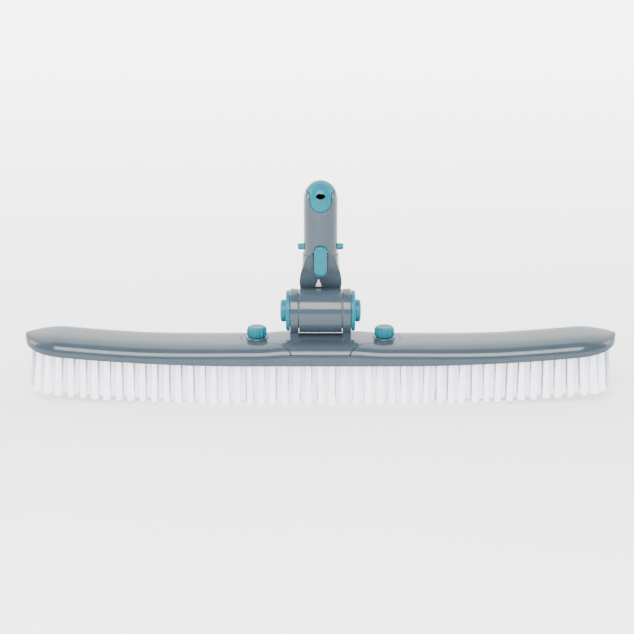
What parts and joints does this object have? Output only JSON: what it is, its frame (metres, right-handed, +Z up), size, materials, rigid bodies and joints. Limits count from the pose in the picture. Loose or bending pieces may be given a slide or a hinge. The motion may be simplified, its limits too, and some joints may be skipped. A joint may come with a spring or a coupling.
{
  "type": "pool wall brush",
  "caption": "Curved pool wall brush head with nylon tufts, a screwed-on yoke and a tilting, lockable handle spigot with snap buttons for a telescopic pole.",
  "frame": {"origin": "centre of the bristle tips, straight below the middle of the head", "axes": "+X along the head, -Y to the front where the lock lever is, +Z up the handle"},
  "size_m": [0.4998, 0.058, 0.19],
  "materials": {
    "grey_plastic": "gloss moulded",
    "cyan_plastic": "gloss moulded",
    "white_nylon": "translucent nylon filament",
    "beige_plastic": "matte moulded",
    "acetal": "satin moulded",
    "steel": "satin",
    "brass": "knurled turned"
  },
  "bodies": {
    "head": {"brush_cover": "grey_plastic", "bristle_plate": "beige_plastic", "plate_screw_1": "steel", "plate_screw_2": "steel", "plate_screw_3": "steel", "plate_screw_4": "steel", "bristle_row_1": "white_nylon", "bristle_row_2": "white_nylon", "bristle_row_3": "white_nylon", "bristle_row_4": "white_nylon", "bristle_row_5": "white_nylon", "yoke": "grey_plastic", "threaded_insert_left": "brass", "threaded_insert_right": "brass", "pivot_bush_left": "acetal", "pivot_bush_right": "acetal", "button_bezel_left": "cyan_plastic", "button_bezel_right": "cyan_plastic"},
    "handle": {"handle": "grey_plastic", "clip_cap": "cyan_plastic", "pivot_pin": "steel", "lever_pin": "steel", "button_spring_left": "steel", "button_spring_right": "steel", "bolt_spring": "steel"},
    "lock_lever": {"lock_lever": "cyan_plastic"},
    "lock_bolt": {"lock_bolt": "acetal"},
    "collar_left": {"knob_collar_left": "grey_plastic"},
    "knob_left": {"knob_left": "cyan_plastic", "knob_stud_left": "steel"},
    "button_left": {"pivot_button_left": "cyan_plastic", "lock_ring_left": "acetal"},
    "snap_left": {"snap_arm_left": "cyan_plastic"},
    "collar_right": {"knob_collar_right": "grey_plastic"},
    "knob_right": {"knob_right": "cyan_plastic", "knob_stud_right": "steel"},
    "button_right": {"pivot_button_right": "cyan_plastic", "lock_ring_right": "acetal"},
    "snap_right": {"snap_arm_right": "cyan_plastic"}
  },
  "joints": [
    {"name": "handle_tilt", "type": "hinge", "parent": "head", "child": "handle", "pos_m": [0, 0, 0.077], "axis": [1, 0, 0], "range_deg": [-90, 90]},
    {"name": "lever_press", "type": "hinge", "parent": "handle", "child": "lock_lever", "pos_m": [0, -0.008, 0.1314], "axis": [1, 0, 0], "range_deg": [0, 10], "stiffness_Nm_per_rad": 0.4, "springref_deg": -5.73},
    {"name": "bolt_lift", "type": "slide", "parent": "handle", "child": "lock_bolt", "axis": [0, 0, 1], "range_m": [0, 0.00323], "deforming": ["bolt_spring"]},
    {"name": "button_left_press", "type": "slide", "parent": "handle", "child": "button_left", "axis": [1, 0, 0], "range_m": [0, 0.004], "stiffness_N_per_m": 800, "springref_m": -0.002},
    {"name": "snap_left_press", "type": "slide", "parent": "handle", "child": "snap_left", "axis": [1, 0, 0], "range_m": [0, 0.0048], "stiffness_N_per_m": 1000, "springref_m": -0.001},
    {"name": "knob_left_rise", "type": "slide", "parent": "head", "child": "collar_left", "axis": [0, 0, 1], "range_m": [0, 0.006]},
    {"name": "knob_left_turn", "type": "hinge", "parent": "collar_left", "child": "knob_left", "pos_m": [-0.054, 0, 0.0546], "axis": [0, 0, 1], "range_deg": [0, 1440]},
    {"name": "button_right_press", "type": "slide", "parent": "handle", "child": "button_right", "axis": [-1, 0, 0], "range_m": [0, 0.004], "stiffness_N_per_m": 800, "springref_m": -0.002},
    {"name": "snap_right_press", "type": "slide", "parent": "handle", "child": "snap_right", "axis": [-1, 0, 0], "range_m": [0, 0.0048], "stiffness_N_per_m": 1000, "springref_m": -0.001},
    {"name": "knob_right_rise", "type": "slide", "parent": "head", "child": "collar_right", "axis": [0, 0, 1], "range_m": [0, 0.006]},
    {"name": "knob_right_turn", "type": "hinge", "parent": "collar_right", "child": "knob_right", "pos_m": [0.054, 0, 0.0546], "axis": [0, 0, 1], "range_deg": [0, 1440]}
  ],
  "couplings": [
    {"joint": "lever_press", "follows": "bolt_lift", "rad_per_m": 54.054},
    {"joint": "knob_left_turn", "follows": "knob_left_rise", "rad_per_m": 4188.8},
    {"joint": "knob_right_turn", "follows": "knob_right_rise", "rad_per_m": 4188.8}
  ]
}
